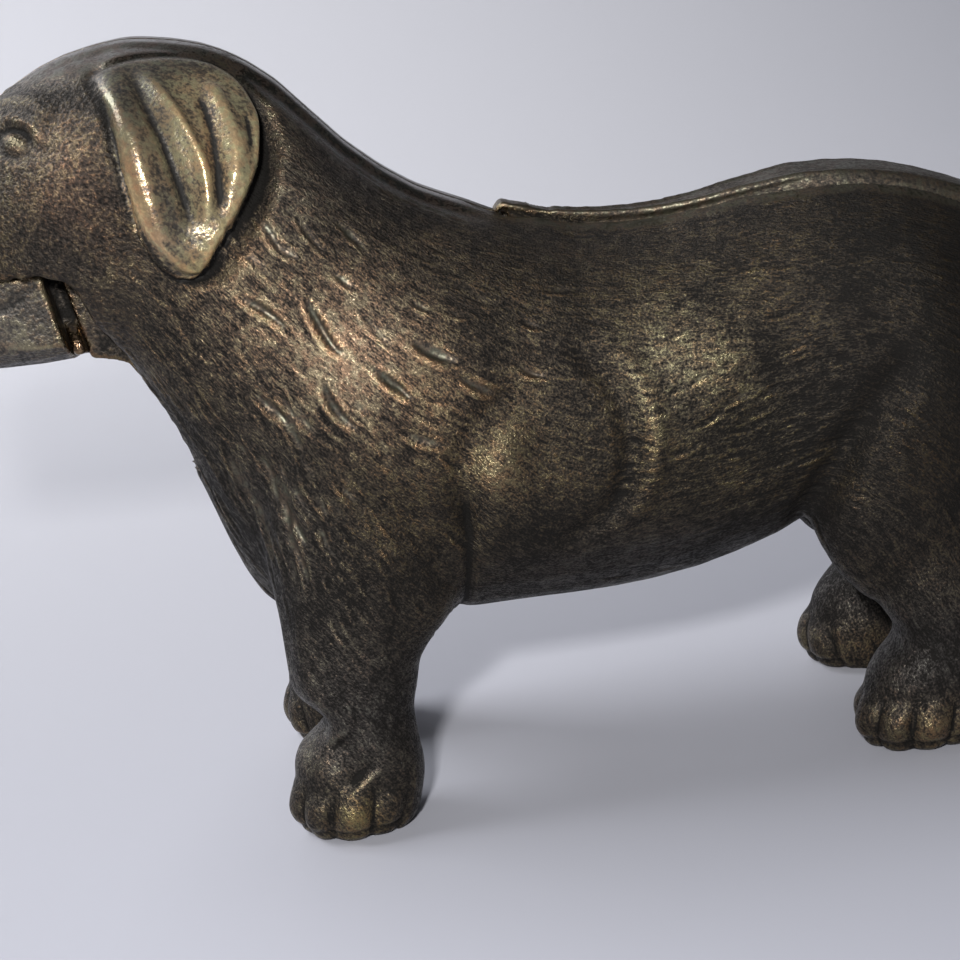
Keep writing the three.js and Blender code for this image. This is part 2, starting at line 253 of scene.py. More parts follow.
EAR_FOLDS = (
    # width, height (negative for a groove), and the corners of each line down the ear
    (1.6, 0.8, (46.2, 15, 118.5), (49, 21.4, 112.6), (50.2, 24, 105.8), (51.4, 24.8, 98), (54, 24.6, 93.6)),
    (1.1, 1.15, (51.4, 12, 120), (54.6, 17.7, 114.9), (57.2, 20.5, 108.7), (58.3, 22, 103.6), (57.8, 24, 97)),
    (1.6, 1.1, (60, 11.5, 117.5), (62.6, 17, 111), (63.2, 19.4, 106.5), (62, 22.5, 100.5)),
    (
        1.2, -1.5, (49, 11, 120.7), (51.6, 18, 115.9), (53.8, 21.7, 109.7), (55.2, 23.5, 103.3),
        (56, 24.3, 96.5),
    ),
    (0.9, -0.75, (59.2, 14, 116), (60.3, 19, 108.8), (60.4, 21.4, 104.5), (60, 23, 98.5)),
    (0.45, -0.5, (65.2, 15.2, 111.5), (65.2, 17.8, 108), (64.4, 19.4, 105)),
)
EYE = np.array([32.2, 14.6, 111.6])
BROW = curve((28, 6, 115), (31.1, 8.4, 117), (35, 12, 116.6), (38.2, 16.5, 113.6))
LEATHER_EDGE = curve((6.2, 0, 107), (5.8, 4.5, 105.8), (4, 7.2, 103), (2, 7.4, 100), (1, 5, 97.6))
CHEEK_EDGE = curve((32.5, 90.5), (35.5, 88.4), (37, 85.6), (37.6, 82), (39.5, 80), (42, 77))
FACE_SWELLS = (
    # place, radii, and height of each swelling, negative for a hollow
    ((36.6, 18.5, 110.5), (1.5, 2.5, 1.5), -0.5),  # the eye's rear corner
    ((39, 20, 104), (6, 8, 6), 0.5),  # cheekbone
    ((25, 12, 108), (6, 6, 5), -0.8),  # in front of the eye
    ((1.5, 0, 102), (4.5, 6, 4.5), 0.7),  # nose leather
    ((1.4, 4.2, 101.2), (2, 1.3, 1.1), -1.3),  # nostril
)
MUSCLES = (
    # X, Z, radii, and height of each swelling on the flank, negative for a hollow
    (80, 74, 12, 14, 0.6),  # shoulder
    (101, 66, 5, 13, -0.8),
    (121, 62, 8, 14, 0.6),  # ribs
    (139, 62, 8, 12, -0.8),
    (161, 58, 10, 16, 0.7),  # thigh
    (95.6, 59, 3.8, 5, 1.2),  # elbow
)
ELBOW = curve(
    (102, 69), (96.8, 67), (92.8, 63.3), (90.2, 58.8), (89.6, 53), (89.6, 46.1), (89.2, 40.5), (88.0, 32),
    (86.5, 26),
)  # fmt: skip
RIB = curve((106, 74), (112.6, 68.5), (115.3, 60), (114.2, 52.1), (110.0, 46), (101, 42.6))
RIB_WIDTH = 3.2  # from the groove in front of the rib to its crest
GROIN = curve((160, 68), (149.7, 54.7), (146.2, 48), (143.0, 41.5), (141.0, 34))
SHIN = curve((64, 44), (62.6, 34), (62.8, 25.4), (64.6, 20))
FLANK_LINES = (
    # line, width, and height, negative for a groove
    (ELBOW[24:], 0.9, -0.6),  # the crease behind the foreleg
    (ELBOW[20:], 2.0, -0.5),
    (ELBOW[:34], 2.6, -1.2),  # round the elbow
    (RIB, 2.2, -1.1),
    (RIB + (RIB_WIDTH, 0.2), 2.2, 0.7),
    (GROIN, 2.6, -1.3),
    (SHIN, 1.3, 0.45),
)
CALF = {"centre": (85.5, 22, 34), "radius": (4.5, 8, 6.5), "height": 2.4}
PAWS = (
    # X and distance from the seam of its middle, and how deep the ankle's waist is
    {"middle": (67.6, 18.6), "waist": 4.6},
    {"middle": (159.4, 17.8), "waist": 2},
)
PAW_REACH = 20
ANKLE_REACH = 16
ANKLE_Z = 18.5
FOREPAW_HOLLOW = curve((65.2, 26, 17.5), (67.3, 26.8, 13.6), (69.6, 27.2, 10.2))
TOES = (
    # bearing round the paw from straight ahead, half the angle it fills, height, and how far up it reaches
    (-24, 17, 0.9, 8.5),
    (12, 17, 1.2, 9.5),
    (44, 15, 1, 8),
    (84, 20, 1, 10),
    (122, 16, 0.6, 8),
)


def inside_ear(spots):
    """How far inside the ear's outline each point is, in millimetres; negative outside."""
    middle = EAR_EDGE.mean(axis=0)
    along, across, _ = np.linalg.svd(EAR_EDGE - middle, full_matrices=False)[2]
    plane = np.column_stack([along, across])
    flat = (spots - middle) @ plane
    edge = (EAR_EDGE - middle) @ plane
    inside = np.zeros(len(flat), bool)
    for (ax, ay), (bx, by) in zip(edge, np.roll(edge, -1, axis=0)):
        if ay != by:
            crosses = (ay > flat[:, 1]) != (by > flat[:, 1])
            inside ^= crosses & (flat[:, 0] < (bx - ax) * (flat[:, 1] - ay) / (by - ay) + ax)
    gap, _ = nearest_on(spots, EAR_EDGE)
    return np.where(inside, gap, -gap)


def near_ear(dog):
    return np.linalg.norm(dog - EAR_CENTRE, axis=1) < EAR_REACH


def ear(dog):
    """The raised flap, cut deeply round its free edge, with fleshy ridges down it."""
    near = near_ear(dog)
    height = np.zeros(len(dog))
    spots = dog[near]
    depth = inside_ear(spots)
    free = 0.25 + 0.75 * ramp(119, 110, spots[:, 2])
    rear = ramp(54, 62, spots[:, 0]) * ramp(116, 106, spots[:, 2])
    flap = (0.8 + 0.7 * rear) * ramp(-0.3, 1.6, depth)
    cut = (1.3 + 1.1 * rear) * bell(depth + 0.7 + 0.5 * rear, 0.8 + 0.8 * rear)
    folds = np.zeros(len(spots))
    for width, fold, *corners in EAR_FOLDS:
        folds += drawn(spots, curve(*corners), width, fold)
    folds *= ramp(-0.5, 0.8, depth) * (0.35 + 0.65 * ramp(119.5, 112, spots[:, 2]))
    height[near] = free * (flap - cut) + folds
    return height


def face(dog):
    """Brow, eye with its lids, cheek, nose leather and nostril."""
    away = dog - EYE
    lean = away[:, 2] + 0.35 * away[:, 0]
    gap = np.sqrt((away[:, 0] / 1.25) ** 2 + (away[:, 1] / 1.3) ** 2 + (lean / 0.85) ** 2)
    lid = 0.35 + 0.65 * ramp(-1.5, 2.5, lean)
    ball = 0.6 * bell(gap, 1.5)
    socket = 0.75 * lid * bell(gap - 2.5, 0.9)
    rim = 0.4 * lid * bell(gap - 4.2, 1.2)
    height = ball - socket + rim
    height += drawn(dog, BROW, 2.0, 0.9) + drawn(dog, LEATHER_EDGE, 0.7, -0.4)
    height += drawn(dog[:, [0, 2]], CHEEK_EDGE, 0.6, -0.55) * (dog[:, 1] > 6)
    for place, radii, rise in FACE_SWELLS:
        height += swell_at(dog, place, radii, rise)
    return height


def flank(dog):
    """The muscles, and the creases between them."""
    height = swell_at(dog, CALF["centre"], CALF["radius"], CALF["height"])
    for muscle in MUSCLES:
        height += swell(dog, *muscle)
    for line, width, rise in FLANK_LINES:
        height += drawn(dog[:, [0, 2]], line, width, rise)
    return height * ramp(4, 12, dog[:, 1])


def nape(dog):
    """The smooth raised band along the seam, from the brow to the bar."""
    x, y, z = dog.T
    on_top = ramp(95, 104, z) + ramp(60, 75, x) * ramp(80, 86, z)
    along = ramp(30, 55, x) * ramp(SLOT_START + 1, SLOT_START - 8, x)
    return 0.7 * on_top.clip(0, 1) * along * ramp(6.5, 3.5, y)


def slot_rim(dog, bar_half):
    """A rounded rim on the back along each side of the slot."""
    x, y, z = dog.T
    out = y - np.interp(x, *bar_half)
    along = ramp(SLOT_START - 1, SLOT_START + 6, x) * ramp(RUMP, RUMP - 6, x)
    crown = 1.1 * bell(out, 6) + 0.3 * bell(out - 1.4, 1.1)
    return along * (z > 70) * crown * ramp(0.3, 1.2, out)


def paws(dog):
    """Toes fanned round each paw with grooves between them, and an undercut just above the sole."""
    height = np.zeros(len(dog))
    up = dog[:, 2]
    for paw in PAWS:
        away = dog[:, :2] - paw["middle"]
        near = np.linalg.norm(away, axis=1) < PAW_REACH
        bearing = np.degrees(np.arctan2(away[:, 1], -away[:, 0])) - 1.1 * (up - 5)
        toes = np.zeros(len(dog))
        for toe, half_angle, rise, top in TOES:
            across = np.cos(np.clip(np.abs(bearing - toe) / half_angle, 0, 1) * math.pi / 2) ** 0.7
            ball = 0.45 + 0.55 * bell(up - 4.6, 2.6)
            toes = np.maximum(toes, rise * across * ball * ramp(top + 1.5, top - 2, up))
        fan = ramp(-50, -38, bearing) * ramp(146, 134, bearing) * ramp(12, 8, up)
        height += near * fan * (1.25 * toes - 0.6)
        height -= near * fan * 0.35 * bell(up - 1.8, 0.6)
    return height


def ankles(dog):
    """The waist above each paw, cut deepest in front."""
    height = np.zeros(len(dog))
    for paw in PAWS:
        away = dog[:, :2] - paw["middle"]
        near = np.linalg.norm(away, axis=1) < ANKLE_REACH
        front = 0.1 + 0.9 * ramp(0, -8, away[:, 0])
        height -= near * paw["waist"] * front * bell(dog[:, 2] - ANKLE_Z, 3.4)
        heel = ramp(2, 9, away[:, 0]) * bell(dog[:, 2] - 9, 5)
        height += near * 0.9 * heel
    return height + drawn(dog, FOREPAW_HOLLOW, 2.5, -1.3)


# ---------- which way the hair lies
HAIR_WAY = (
    # X, Z, and the hair's angle in degrees from rearwards, upwards positive
    (10, 100, 0), (38, 100, -35), (50, 112, -60), (56, 82, -66), (66, 92, -55), (80, 96, -38), (104, 90, -14),
    (76, 78, -50), (92, 76, -30), (62, 62, -72), (78, 60, -58), (96, 60, -28), (60, 42, -78), (72, 40, -68),
    (86, 42, -55), (68, 18, -84), (112, 66, -8), (126, 66, 14), (142, 60, 14), (118, 46, 6), (136, 46, 12),
    (122, 84, -4), (150, 84, -2), (170, 80, -14), (160, 58, -46), (158, 32, -76), (158, 10, -86),
    (178, 62, -60), (200, 84, -20), (230, 84, 0), (262, 78, 10),
)  # fmt: skip
FLOW_STEP = 6.0  # between the grid's lines, which start one step before the nose and below the floor
FLOW_TOP = 124  # a little above the head
FLOW_ROUNDS = 5000  # enough for the grids to settle


def hair_angle(x, z):
    """The hair's direction in the side view, in radians, blended from the nearest named places."""
    total = np.zeros(np.shape(x), complex)
    for place_x, place_z, degrees in HAIR_WAY:
        weight = 1 / ((x - place_x) ** 2 + (z - place_z) ** 2 + 16) ** 1.5
        total += weight * np.exp(1j * math.radians(degrees))
    return np.angle(total)


def flow_grids():
    """Two heights over the side view: one grows along the hair, and one across it."""
    xs = np.arange(-FLOW_STEP, TAIL + 2 * FLOW_STEP, FLOW_STEP)
    zs = np.arange(-FLOW_STEP, FLOW_TOP + 2 * FLOW_STEP, FLOW_STEP)
    mid_x = hair_angle(*np.meshgrid(xs[:-1] + FLOW_STEP / 2, zs, indexing="ij"))
    mid_z = hair_angle(*np.meshgrid(xs, zs[:-1] + FLOW_STEP / 2, indexing="ij"))
    rise_x = FLOW_STEP * np.stack([np.cos(mid_x), -np.sin(mid_x)], axis=-1)
    rise_z = FLOW_STEP * np.stack([np.sin(mid_z), np.cos(mid_z)], axis=-1)
    grid = np.zeros((len(xs), len(zs), 2))
    links = np.zeros((len(xs), len(zs), 1))
    for part in (links[1:], links[:-1], links[:, 1:], links[:, :-1]):
        part += 1
    for _ in range(FLOW_ROUNDS):
        total = np.zeros_like(grid)
        total[1:] += grid[:-1] + rise_x
        total[:-1] += grid[1:] - rise_x
        total[:, 1:] += grid[:, :-1] + rise_z
        total[:, :-1] += grid[:, 1:] - rise_z
        grid = 0.2 * grid + 0.8 * total / links
    return grid


FLOW = flow_grids()


def flow_at(dog):
    """Hair coordinates for each point: along the hair, across it, and the distance from the seam."""
    u = dog[:, 0] / FLOW_STEP + 1
    v = dog[:, 2] / FLOW_STEP + 1
    i = np.clip(u.astype(int), 0, FLOW.shape[0] - 2)
    j = np.clip(v.astype(int), 0, FLOW.shape[1] - 2)
    s = (u - i)[:, None]
    t = (v - j)[:, None]
    low = FLOW[i, j] * (1 - s) + FLOW[i + 1, j] * s
    high = FLOW[i, j + 1] * (1 - s) + FLOW[i + 1, j + 1] * s
    return np.column_stack([low * (1 - t) + high * t, dog[:, 1]])


# ---------- chased hair strokes
GOUGES = (
    # the deepest strokes on the neck: X, Z, length, half width, depth, angle from rearwards in degrees, bend
    (71.9, 81.5, 10.5, 0.95, 0.85, -68, 0.1),
    (81.2, 71.9, 8.5, 1, 0.8, -46, 0),
    (72.6, 69.6, 9.5, 1, 0.75, -62, 0.45),
    (88.2, 75.6, 9, 1.3, 0.6, -34, 0.15),
    (64.4, 84.4, 9.5, 0.95, 0.6, -42, -0.2),
    (93.4, 69.7, 6.5, 0.9, 0.5, -34, 0.1),
    (84.8, 63.2, 8, 0.9, 0.4, -26, 0.2),
    (76.2, 87.3, 5, 0.8, 0.45, -46, 0),
    (78.1, 93.3, 7.5, 0.9, 0.35, -60, -0.35),
    (86.7, 82, 4.5, 0.8, 0.35, -32, -0.2),
    (63.5, 70.1, 9.5, 1, 0.45, -43, 0.15),
    (72.6, 94.1, 8.5, 0.9, 0.35, -66, 0.1),
    (102.5, 76.7, 4, 0.7, 0.35, -28, 0),
    (101.5, 70.6, 4.5, 0.7, 0.35, -30, 0),
    (66.5, 95, 7.5, 0.9, 0.5, -68, -0.3),
    (68.8, 92.8, 5, 0.9, 0.45, -46, 0.3),
    (56.5, 60.2, 11, 0.9, 0.4, -76, 0.1),
    (62.5, 55.7, 11, 0.9, 0.4, -68, -0.1),
    (107, 80.5, 5, 0.7, 0.25, -12, 0),
)
STROKE_ZONES = (
    # X, Z, radii, then strokes in the zone, their length, half width and depth
    (64, 84, 12, 16, 46, 9, 0.8, 0.17),
    (80, 72, 16, 18, 46, 7, 0.75, 0.16),
    (94, 84, 14, 10, 34, 6, 0.7, 0.15),
    (64, 56, 11, 15, 90, 10, 0.75, 0.2),
    (74, 46, 10, 12, 50, 6, 0.7, 0.16),
    (72, 30, 8, 12, 30, 4.5, 0.65, 0.12),
    (112, 66, 16, 20, 60, 5, 0.6, 0.11),
    (138, 62, 18, 20, 130, 6.5, 0.6, 0.14),
    (164, 66, 14, 20, 90, 5, 0.62, 0.14),
    (158, 32, 9, 18, 40, 4.5, 0.6, 0.1),
    (52, 78, 8, 10, 30, 5, 0.6, 0.15),
    (120, 82, 26, 8, 60, 5, 0.6, 0.11),
)


class Strokes:
    """Lens-shaped cuts laid along the hair on a casting's skin."""

    def __init__(self, skin):
        self.skin = skin
        self.height = np.zeros(len(skin.dog))
        self.tree = KDTree(len(skin.dog))
        for i, point in enumerate(skin.shell.points.tolist()):
            self.tree.insert(point, i)
        self.tree.balance()
        self.free = np.flatnonzero(skin.outer > 0.9)

    def cut(self, centre, length, half_width, depth, angle, bend):
        """One stroke at an angle from rearwards; the metal it pushes up stands along its lower edge."""
        skin = self.skin
        at = skin.shell.points[centre]
        normal = skin.normals[centre]
        way = np.array([math.cos(angle), 0, math.sin(angle)])
        way = unit(way - (way @ normal) * normal)
        side = np.cross(normal, way)
        if side[2] > 0:
            side = -side
        found = self.tree.find_range(at, length / 2 + 2 * half_width)
        rows = np.fromiter((index for _, index, _ in found), int, len(found))
        rows = rows[skin.normals[rows] @ normal > 0.3]
        away = skin.shell.points[rows] - at
        s = away @ way / (length / 2)
        lens = np.clip(1 - s**2, 0, 1)
        v = away @ side / half_width + bend * (s**2 - 0.4) * length / 4
        width = np.sqrt(lens) * 0.9 + 0.1
        bed = np.clip(1 - (v / width) ** 2, 0, 1)
        lip = bell(v - width - 0.35, 0.45)
        self.height[rows] += depth * lens * (0.45 * lip - bed)

    def scatter(self, x, z, reach_x, reach_z, count, length, half_width, depth):
        """Strokes of varied size, thickest at the zone's middle."""
        dog = self.skin.dog[self.free]
        weight = swell(dog, x, z, reach_x, reach_z) * stroke_room(dog)
        picks = random.choice(self.free, count, p=weight / weight.sum())
        for centre in picks:
            size = random.uniform(0.6, 1.35)
            angle = hair_angle(*self.skin.dog[centre, [0, 2]]) + random.normal(0, 0.16)
            deep = depth * random.uniform(0.5, 1.3)
            self.cut(centre, length * size, half_width * size**0.5, deep, angle, random.normal(0.1, 0.3))


def behind_face(dog):
    """X, moved back below the cheek by the slant of the throat."""
    return dog[:, 0] + THROAT_SLANT * (CHEEK_Z - dog[:, 2]).clip(0)


def stroke_room(dog):
    """Where hair is chased: not on the ears, the face, the nape's smooth band or the paws."""
    room = 1 - np.exp(-((np.linalg.norm(dog - EAR_CENTRE, axis=1) / EAR_ROOM) ** 8))
    room *= ramp(42, 50, behind_face(dog))
    room *= ramp(12, 18, dog[:, 2])
    smooth_nape = ramp(96, 90, dog[:, 0]) * ramp(8, 4, dog[:, 1])
    return room * (1 - smooth_nape)


# ---------- the smooth form under the castings' skin
def dog_form():
    """The whole dog as one smooth shell, with the mouth, throat and back slot closed."""
    points, triangles = node_arrays("jaw_and_tail_lever")
    sunk = points.copy()
    sunk[:, 2] -= BAR_RISE * ramp(95, 98, points[:, 0]) * ramp(RUMP + 20, RUMP, points[:, 0])
    halves = [node_arrays("body_left_half"), node_arrays("body_right_half")]
    form = outer_shell(voxel_shell([*halves, (sunk, triangles)], FORM_VOXEL))
    form.relax(10)
    return form


# A line through the middle of the hollow, from the muzzle to the rump.
CORE = np.array([(20, 0, 103), (56, 0, 104), (76, 0, 82), (110, 0, 63), (165, 0, 64)], float)


def faces_out(points, normals):
    """Which points face away from the hollow's core, as the outside does and the walls within do not."""
    gap = np.full(len(points), np.inf)
    away = np.zeros_like(points)
    for start, end in zip(CORE, CORE[1:]):
        step = end - start
        t = np.clip((points - start) @ step / (step @ step), 0, 1)
        offset = points - start - t[:, None] * step
        distance = np.linalg.norm(offset, axis=1)
        nearer = distance < gap
        gap[nearer] = distance[nearer]
        away[nearer] = offset[nearer]
    return ((unit(away) * normals).sum(axis=1) > -0.1) | (points[:, 2] < HOLLOW_FLOOR)


class Skin:
    """A casting's fine shell, and how far each of its points belongs to the dog's outer skin."""

    def __init__(self, node, side):
        self.node = node
        self.side = side
        self.shell = voxel_shell([node_arrays(node)], SKIN_VOXEL)
        self.outer = np.ones(len(self.shell.points))
        self.bed = np.zeros(len(self.shell.points))  # 1 in the smooth bottom of a deep stroke
        self.refresh()

    def refresh(self):
        x, y, z = self.shell.points.T
        self.dog = np.column_stack([x, np.abs(y), z])
        self.normals = unit(self.shell.blur(self.shell.normals(), 2))

    def lay_on(self, form):
        """Moves the outer surface onto the smooth form, and leaves the slot, mouth and inside as they are."""
        tree = BVHTree.FromPolygons(form.points.tolist(), form.quads.tolist())
        form_normals = form.normals()[form.quads].mean(axis=1)
        rough_normals = self.shell.normals()
        target = self.shell.points.copy()
        faces = np.full(len(target), -1)
        for i, point in enumerate(target.tolist()):
            at, _, face, _ = tree.find_nearest(point, SKIN_REACH)
            if at is not None:
                target[i] = at
                faces[i] = face
        agrees = (form_normals[faces] * rough_normals).sum(axis=1) > 0.35
        on_form = (faces >= 0) & agrees & faces_out(target, rough_normals)
        self.outer = self.shell.blur(on_form.astype(float), 2) * on_form
        self.shell.points += self.outer[:, None] * (target - self.shell.points)
        self.shell.relax(2, self.outer)
        self.refresh()

    def raise_by(self, height):
        """Moves the skin out along its normals, by a height in millimetres for each point."""
        self.shell.points += (self.outer * height)[:, None] * self.normals
        self.shell.points[:, 2] = self.shell.points[:, 2].clip(0)
        if self.side:
            y = self.shell.points[:, 1]
            self.shell.points[:, 1] = self.side * np.maximum(self.side * y, SEAM)
        self.refresh()

    def hollow(self, rounds):
        """How deep each point lies below the skin round it, in millimetres; negative on a crest."""
        smooth = self.shell.blur(self.shell.points, rounds)
        return ((smooth - self.shell.points) * self.normals).sum(axis=1)


def beside_slot(dog, bar_half):
    """The smooth band of the back along each side of the slot."""
    x, y, z = dog.T
    out = y - np.interp(x, *bar_half)
    along = ramp(SLOT_START - 2, SLOT_START + 4, x) * ramp(RUMP + 4, RUMP - 4, x)
    return along * (z > 70) * ramp(4.2, 2.8, out)


def body_half(node, side, form, bar_half):
    skin = Skin(node, side)
    skin.lay_on(form)
    dog = skin.dog
    skin.raise_by(ear(dog) + face(dog) + flank(dog) + ankles(dog) + nape(dog) + slot_rim(dog, bar_half))
    skin.shell.relax(2, skin.outer)
    skin.refresh()
    skin.raise_by(paws(skin.dog))
    strokes = Strokes(skin)
    for x, z, length, half_width, depth, degrees, bend in GOUGES:
        gap = ((skin.dog[strokes.free][:, [0, 2]] - (x, z)) ** 2).sum(axis=1)
        gap[skin.dog[strokes.free, 1] < 8] = np.inf
        centre = strokes.free[np.argmin(gap)]
        strokes.cut(centre, length, half_width, depth, math.radians(degrees), bend)
    for zone in STROKE_ZONES:
        strokes.scatter(*zone)
    skin.raise_by(np.clip(strokes.height, -0.9, 0.35))
    smooth_rim = 0.8 * beside_slot(skin.dog, bar_half)
    skin.bed = skin.outer * np.maximum(ramp(-0.12, -0.4, strokes.height), smooth_rim)
    return skin


# ---------- the lever
BAR_NOSE = SLOT_START - 1
BAR_END = 152  # behind this the bar's top is left as it is
BAR_LIP = 0.5  # how far the bar's top edge stands out from its side
JAW_LEDGE = curve((3, 13.5, 87.0), (20, 13.8, 87.2), (26, 13.8, 87.6), (29.9, 13.8, 89.4), (32.5, 13.8, 91.2))
JAW_REAR = 33
JAW_GROOVE = {"front": 32.9, "rear": 35.4, "floor": (7.4, 9.2), "top": 86, "fill": 3.8}
TAIL_HAIR = (225, 78, 40, 16, 420, 4.2, 0.45, 0.16)  # a row as in STROKE_ZONES
BAR_TOP = curve(
    (SLOT_START, 91.8), (107, 90.3), (113, 88.9), (120, 88.1), (128, 88.1), (139, 89.6), (150, 91.2),
)  # fmt: skip


def bar_half_widths():
    """Places along the back, and half the bar's width at each."""
    points, _ = node_arrays("jaw_and_tail_lever")
    places = np.arange(SLOT_START, RUMP + 6, 4.0)
    halves = []
    for place in places:
        near = (np.abs(points[:, 0] - place) < 5) & (points[:, 2] > 74)
        halves.append(np.abs(points[near, 1]).max())
    return places, np.array(halves)


def bar_lift(dog):
    """Moves the bar's top onto its line, so that it stands proud of the back from its nose to the rump."""
    x, _, z = dog.T
    on_bar = (x > BAR_NOSE - 2) & (z > 78)
    places = []
    tops = []
    for place in np.arange(BAR_NOSE - 1, BAR_END, 0.5):
        column = on_bar & (np.abs(x - place) < 0.5)
        if column.any():
            places.append(place)
            tops.append(z[column].max())
    top = np.interp(x, places, tops)
    line = np.interp(x, *BAR_TOP.T) - 1.3 * ramp(BAR_NOSE + 2.0, BAR_NOSE, x) ** 2
    reach = ramp(BAR_END, BAR_END - 6, x) * ramp(-7, -2, z - top)
    return on_bar * reach * (line - top)


def bar_lip(dog):
    """How far the bar's top edge reaches out over the slot's edge on either side."""
    x, y, z = dog.T
    below = np.interp(x, *BAR_TOP.T) - z
    along = ramp(BAR_NOSE - 2, BAR_NOSE, x) * ramp(BAR_END + 6, BAR_END - 6, x)
    return BAR_LIP * along * ramp(1.4, 0.9, below) * (y > 0.7)


def shape_jaw(skin):
    """Makes the groove behind the jaw shallower, and leans the jaw's rear end back towards its foot."""
    x, y, z = skin.dog.T
    low, high = JAW_GROOVE["floor"]
    floor = (x > JAW_GROOVE["front"]) & (x < JAW_GROOVE["rear"]) & (z < JAW_GROOVE["top"])
    floor &= (y > low) & (y < high) & (np.abs(skin.normals[:, 1]) > 0.5)
    fill = skin.shell.blur(floor.astype(float), 3) * ramp(85, 80, z)
    skin.shell.points[:, 1] += JAW_GROOVE["fill"] * fill * np.sign(skin.shell.points[:, 1])
    skin.shell.points[:, 0] += 0.2 * (90 - z).clip(0) * ramp(23, 30, x) * ramp(45, 37, x)


def bar_dish(skin, bar_half):
    """The bar's top, hollowed along its middle between raised edges."""
    x, y, _ = skin.dog.T
    along = ramp(SLOT_START + 2, SLOT_START + 12, x) * ramp(RUMP + 14, RUMP, x)
    edge = ramp(0.55, 0.85, y / np.interp(x, *bar_half))
    return ramp(0.55, 0.85, skin.normals[:, 2]) * along * (0.45 * edge - 0.35)


def bar_bed(dog):
    """How smooth and grey the bar is: all along but for the worn edge near its nose."""
    x, _, z = dog.T
    below = np.interp(x, *BAR_TOP.T) - z
    worn_edge = ramp(0.5, 1.0, below) * ramp(122, 112, x)
    along = ramp(BAR_NOSE - 2, BAR_NOSE, x) * ramp(RUMP + 14, RUMP, x)
    return 0.85 * along * (1 - worn_edge)


def lever_casting(bar_half):
    """Jaw in front, bar in the back slot, tail behind."""
    skin = Skin("jaw_and_tail_lever", 0)
    shell = skin.shell
    shell.points[:, 2] += shell.blur(bar_lift(skin.dog), 2)
    skin.refresh()
    shell.points[:, 1] += np.sign(shell.points[:, 1]) * shell.blur(bar_lip(skin.dog), 2)
    skin.refresh()
    shape_jaw(skin)
    tail = ramp(RUMP - 2, RUMP + 6, skin.dog[:, 0])
    shell.relax(6, 0.4 + 0.6 * tail)
    skin.refresh()
    skin.bed = bar_bed(skin.dog)
    jaw_side = ramp(0.5, 0.9, np.abs(skin.normals[:, 1])) * (skin.dog[:, 0] < JAW_REAR)
    skin.raise_by(bar_dish(skin, bar_half) + jaw_side * drawn(skin.dog, JAW_LEDGE, 0.8, -0.3))
    skin.outer = tail
    strokes = Strokes(skin)
    strokes.scatter(*TAIL_HAIR)
    skin.raise_by(np.clip(strokes.height, -0.5, 0.25))
    return skin


# ---------- colour over the castings
BRONZE = (0.137, 0.109, 0.069)
TONE_PATCHES = (
    # X, Z, radii, the rubbed metal's colour, how far it is rubbed bright, and the patch's strength
    (62, 88, 11, 14, (0.34, 0.27, 0.2), 0.62, 0.8),
    (77, 79, 12, 13, (0.54, 0.44, 0.34), 0.88, 1),
    (87, 68, 7, 8, (0.4, 0.3, 0.2), 0.6, 0.55),
    (95, 58, 5, 7, (0.3, 0.25, 0.17), 0.75, 0.8),
    (125, 68, 10, 9, (0.42, 0.38, 0.27), 0.8, 0.9),
    (134, 54, 14, 12, (0.13, 0.112, 0.062), 0.33, 0.7),
    (40, 103, 7, 10, (0.28, 0.18, 0.125), 0.62, 0.9),
    (38, 93, 10, 8, (0.12, 0.1, 0.075), 0.42, 0.8),
    (38, 81, 3.5, 5, (0.14, 0.105, 0.078), 0.5, 0.9),
    (20, 112, 22, 9, (0.15, 0.14, 0.12), 0.6, 0.8),
    (84, 101, 18, 7, (0.13, 0.12, 0.115), 0.45, 0.9),
    (69, 105, 4, 12, (0.27, 0.24, 0.2), 0.6, 0.7),
    (102, 73, 8, 8, (0.22, 0.18, 0.13), 0.48, 0.6),
    (115, 88, 40, 7, (0.14, 0.115, 0.085), 0.36, 0.8),
    (165, 76, 20, 14, (0.07, 0.053, 0.033), 0.12, 0.9),
    (158, 58, 20, 24, (0.068, 0.052, 0.033), 0.1, 0.9),
    (60, 50, 10, 18, (0.085, 0.08, 0.078), 0.15, 0.8),
    (120, 38, 30, 6, (0.085, 0.085, 0.094), 0.3, 0.9),
    (70, 20, 16, 16, (0.14, 0.137, 0.135), 0.34, 0.9),
    (158, 16, 16, 12, (0.11, 0.11, 0.117), 0.27, 0.9),
    (20, 84, 14, 7, (0.16, 0.15, 0.135), 0.75, 0.9),
    (68, 5.5, 4, 4, (0.3, 0.24, 0.115), 0.5, 0.6),
    (158, 5.5, 6, 4, (0.3, 0.23, 0.14), 0.45, 0.6),
)
EAR_TONE = (0.27, 0.243, 0.17)
SHADOW_TONE = (0.03, 0.028, 0.025)
EAR_PATCHES = (
    # X, Z, radii, colour, how far rubbed, and strength
    (48.5, 115, 5, 7, (0.1, 0.1, 0.088), 0.55, 1),
    (49.5, 103, 2.5, 7, (0.3, 0.2, 0.13), 0.75, 0.8),
    (53.5, 101, 2.4, 10, (0.13, 0.118, 0.1), 0.5, 0.9),
    (61.5, 108, 5, 9, (0.36, 0.325, 0.225), 0.9, 0.7),
    (60, 108, 1.4, 9, (0.32, 0.21, 0.13), 0.6, 0.8),
    (55, 92.5, 5, 3, (0.2, 0.155, 0.085), 0.6, 0.8),
    (58, 119.5, 9, 2, (0.12, 0.12, 0.1), 0.55, 0.8),
)
NAPE_TONE = (0.125, 0.12, 0.113)
BED_TONE = (0.105, 0.102, 0.092)
EAR_RUB = 0.85
BED_RUB = 0.9
BASE_RUB = 0.31
